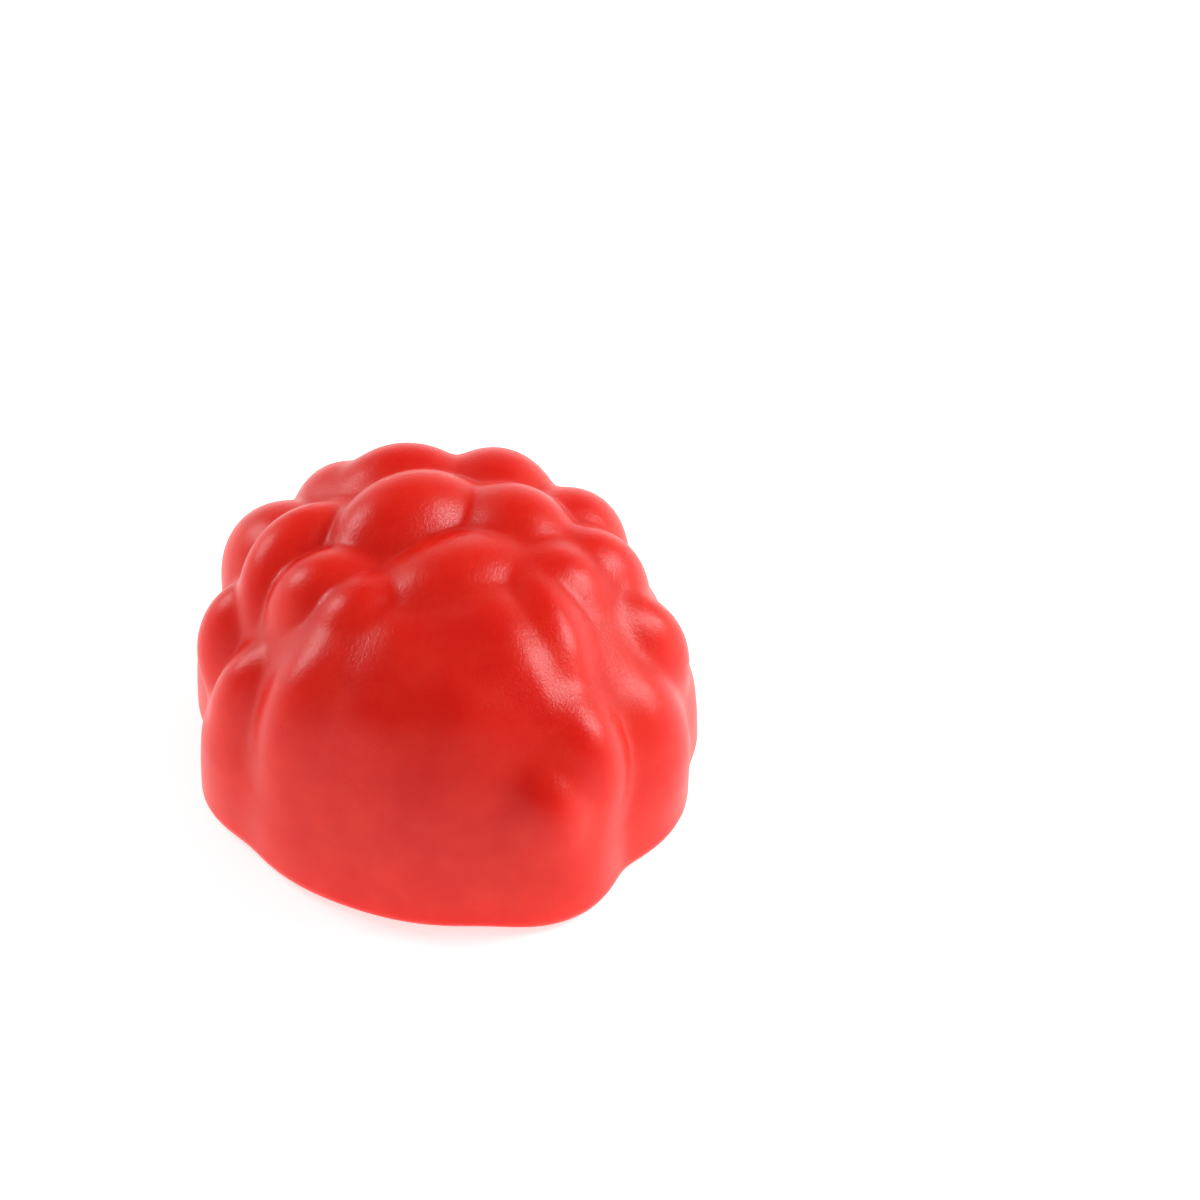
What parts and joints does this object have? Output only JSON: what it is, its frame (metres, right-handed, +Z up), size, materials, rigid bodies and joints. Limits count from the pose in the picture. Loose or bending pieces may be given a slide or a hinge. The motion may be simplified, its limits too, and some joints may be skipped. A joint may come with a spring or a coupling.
{
  "type": "gummy vitamin",
  "caption": "Soft red gummy vitamin moulded as half a berry: an oval dome with rounded swells over its crown, soft upright flutes round its wall and a flat base it rests on.",
  "frame": {"origin": "middle of the bounding box's underside, on the flat base", "axes": "+Z up through the dome, away from the flat base; the front, as seen in the picture, faces -Y; +X is to the right of the front"},
  "size_m": [0.019, 0.0206, 0.0108],
  "materials": {
    "red_gel": "dense red fruit gel with a satin gloss, slightly see-through at thin edges"
  },
  "bodies": {
    "root": {"gummy": "red_gel"}
  },
  "joints": []
}
